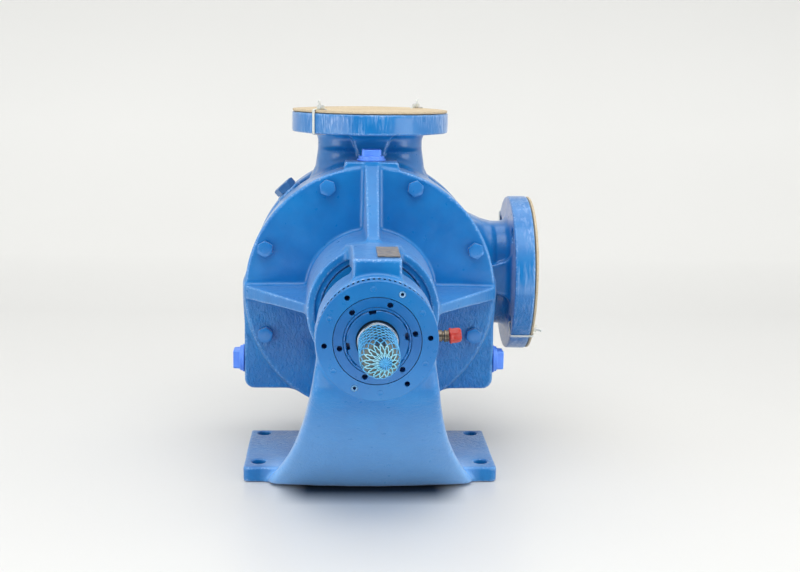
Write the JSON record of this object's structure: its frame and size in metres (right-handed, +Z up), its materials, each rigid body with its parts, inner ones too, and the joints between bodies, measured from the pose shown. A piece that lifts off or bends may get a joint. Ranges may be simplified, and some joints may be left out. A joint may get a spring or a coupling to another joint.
{
  "type": "internal gear pump",
  "caption": "Foot-mounted internal gear pump with two flanged ports at right angles, an overhung shaft and an adjustable bearing housing.",
  "frame": {"origin": "centre of the foot plate's underside, in the vertical plane of the shaft", "axes": "+Z up, +Y from the shaft's free end towards the rear cover, +X towards the side port"},
  "size_m": [0.3669, 0.5468, 0.4155],
  "materials": {
    "blue_enamel": "glossy brushed enamel over cast iron",
    "dark_blue_enamel": "glossy enamel",
    "machined_iron": "machined",
    "ground_steel": "ground",
    "painted_steel": "thin enamel over steel",
    "bearing_steel": "polished",
    "bronze": "machined bronze",
    "brass": "dull",
    "carbon_graphite": "lapped carbon graphite",
    "black_rubber": "moulded",
    "gasket_fibre": "compressed fibre sheet",
    "blue_polyethylene": "moulded satin",
    "fibreboard": "raw hardboard",
    "natural_nylon": "translucent",
    "red_vinyl": "soft moulded",
    "blue_netting": "extruded net",
    "stamped_tag": "dull, blank"
  },
  "bodies": {
    "pump_body": {"bracket": "blue_enamel", "bracket_bolt_1": "blue_enamel", "bracket_bolt_2": "blue_enamel", "bracket_bolt_3": "blue_enamel", "bracket_bolt_4": "blue_enamel", "bracket_bolt_5": "blue_enamel", "bracket_bolt_6": "blue_enamel", "bracket_bolt_7": "blue_enamel", "bracket_bolt_8": "blue_enamel", "casing": "blue_enamel", "casing_plug": "dark_blue_enamel", "rear_cover": "blue_enamel", "cover_bolt_1": "blue_enamel", "cover_bolt_2": "blue_enamel", "cover_bolt_3": "blue_enamel", "cover_bolt_4": "blue_enamel", "cover_bolt_5": "blue_enamel", "cover_bolt_6": "blue_enamel", "cover_bolt_7": "blue_enamel", "cover_bolt_8": "blue_enamel", "bracket_gasket": "gasket_fibre", "cover_gasket": "gasket_fibre", "bracket_bushing": "bronze", "seal_gland": "blue_enamel", "gland_screw_1": "ground_steel", "gland_screw_2": "ground_steel", "gland_screw_3": "ground_steel", "gland_screw_4": "ground_steel", "seal_seat": "carbon_graphite", "idler_pin": "ground_steel", "bearing_housing": "blue_enamel", "bearing_outer_race": "bearing_steel", "bearing_end_cap": "blue_enamel", "outer_lip_seal": "black_rubber", "inner_lip_seal": "black_rubber", "set_screw_1": "ground_steel", "set_screw_2": "ground_steel", "grease_fitting": "brass", "grease_cap": "red_vinyl", "top_shipping_plug": "blue_polyethylene", "left_shipping_plug": "blue_polyethylene", "right_shipping_plug": "blue_polyethylene", "top_port_cover": "fibreboard", "side_port_cover": "fibreboard", "top_cable_tie_1": "natural_nylon", "top_cable_tie_2": "natural_nylon", "side_cable_tie_1": "natural_nylon", "side_cable_tie_2": "natural_nylon", "nameplate": "stamped_tag"},
    "shaft_assembly": {"shaft": "ground_steel", "rotor": "machined_iron", "bearing_inner_race": "bearing_steel", "spacer_collar": "painted_steel", "lockwasher": "painted_steel", "locknut": "painted_steel", "seal_rotary": "ground_steel", "shaft_net_sleeve": "blue_netting"},
    "idler_assembly": {"idler_gear": "machined_iron", "idler_bushing": "carbon_graphite"},
    "bearing_cage": {"ball_cage": "bearing_steel"}
  },
  "joints": [
    {"name": "shaft_spin", "type": "hinge", "parent": "pump_body", "child": "shaft_assembly", "pos_m": [0, 0.01815, 0.2002], "axis": [0, 1, 0], "continuous": true},
    {"name": "idler_spin", "type": "hinge", "parent": "pump_body", "child": "idler_assembly", "pos_m": [0.01697, 0.01815, 0.21717], "axis": [0, 1, 0], "continuous": true},
    {"name": "cage_spin", "type": "hinge", "parent": "pump_body", "child": "bearing_cage", "pos_m": [0, -0.19725, 0.2002], "axis": [0, 1, 0], "continuous": true}
  ],
  "couplings": [
    {"joint": "idler_spin", "follows": "shaft_spin", "ratio": 1.375},
    {"joint": "cage_spin", "follows": "shaft_spin", "ratio": 0.4115}
  ]
}
